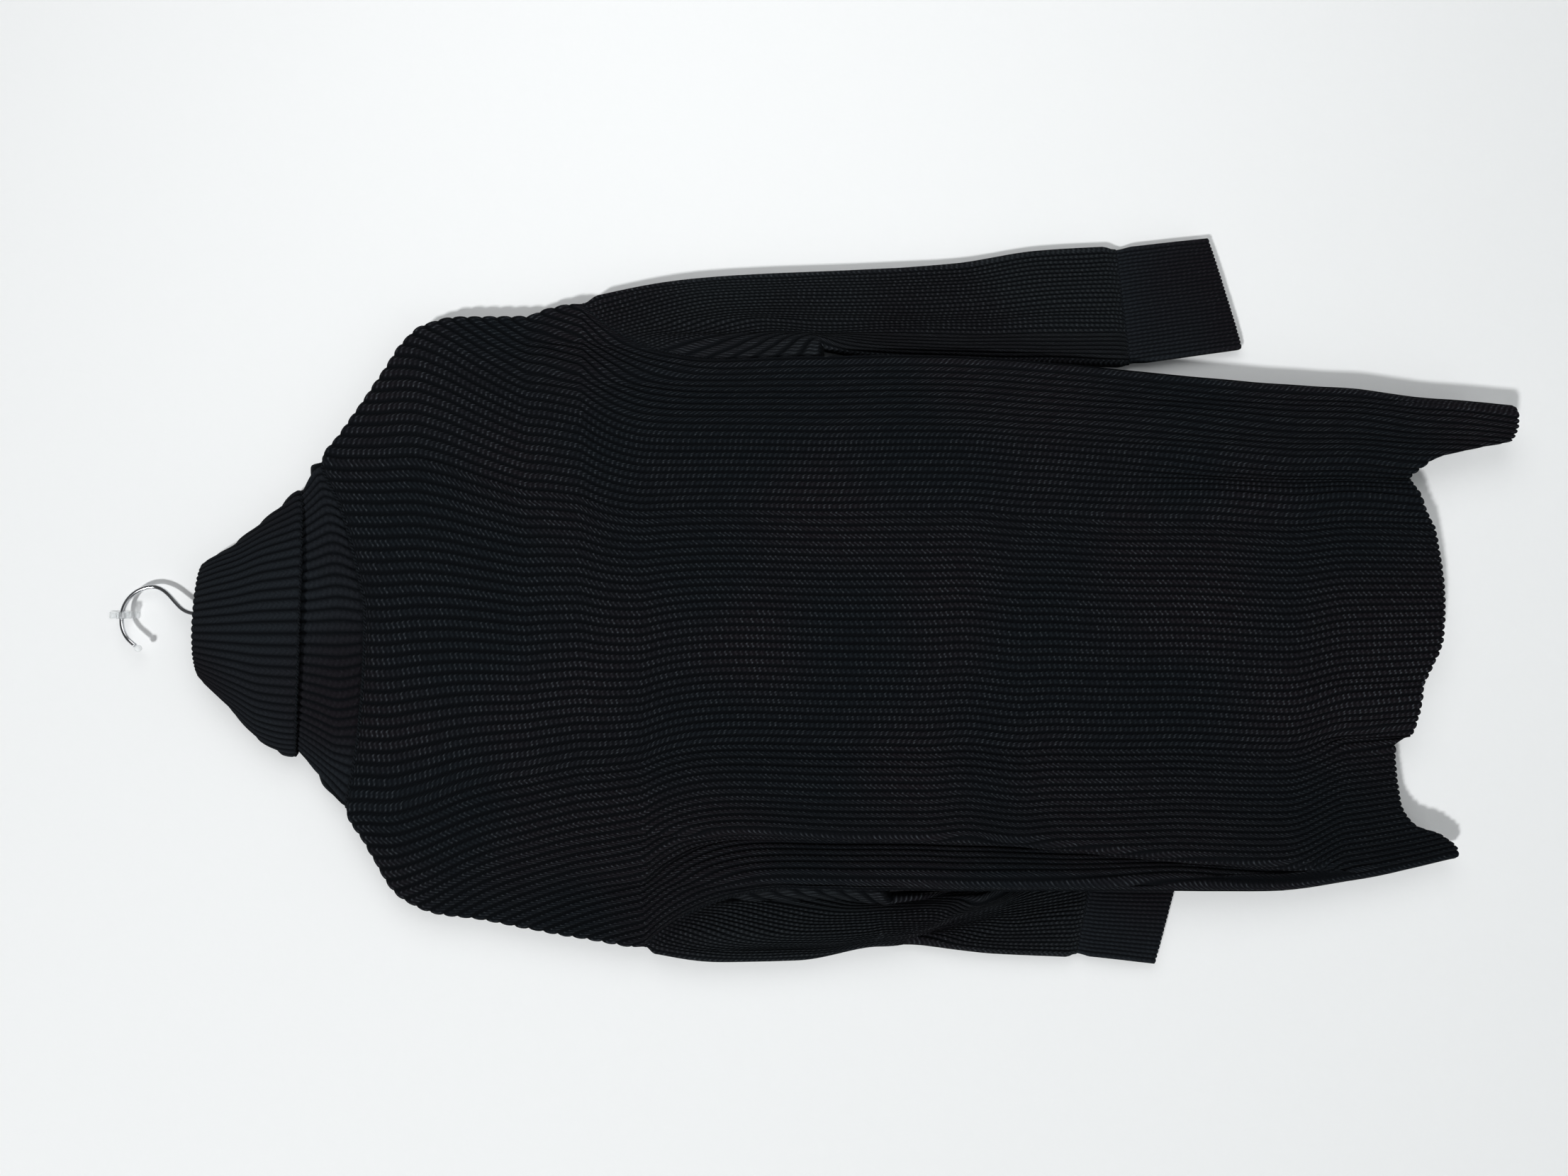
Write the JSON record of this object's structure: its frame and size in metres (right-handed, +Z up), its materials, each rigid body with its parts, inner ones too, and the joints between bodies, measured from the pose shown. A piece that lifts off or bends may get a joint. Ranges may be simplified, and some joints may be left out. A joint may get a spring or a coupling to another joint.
{
  "type": "turtleneck sweater on a hanger and wall hook",
  "caption": "Long chunky ribbed turtleneck sweater with a folded collar, dropped shoulders and ribbed cuffs, hanging flat on a plain hanger from a small wall hook",
  "frame": {"origin": "the middle of the wall hook's flat back, where it meets the wall", "axes": "+Y points into the wall, -Y into the room, +Z up, +X to the right of someone who faces the wall"},
  "size_m": [0.5331, 0.0435, 1.023],
  "materials": {
    "back_yarn": "brushed wool blend yarn, matt, knitted in a chunky rib",
    "front_yarn": "brushed wool blend yarn, matt, knitted in a chunky rib",
    "sleeve_yarn": "brushed wool blend yarn, matt, knitted in a narrower rib",
    "cuff_yarn": "brushed wool blend yarn, matt, knitted in a fine tight rib",
    "collar_yarn": "brushed wool blend yarn, matt, knitted in a soft broad rib",
    "clear_plastic": "clear moulded plastic",
    "chrome": "bright plated wire",
    "clear_tip": "clear moulded ball",
    "clear_wall_hook": "clear moulded plastic"
  },
  "bodies": {
    "root": {"back_panel": "back_yarn", "front_panel": "front_yarn", "left_sleeve": "sleeve_yarn", "right_sleeve": "sleeve_yarn", "left_cuff": "cuff_yarn", "right_cuff": "cuff_yarn", "collar": "collar_yarn", "hanger_body": "clear_plastic", "wire_hook": "chrome", "hook_tip": "clear_tip", "wall_hook": "clear_wall_hook"}
  },
  "joints": []
}
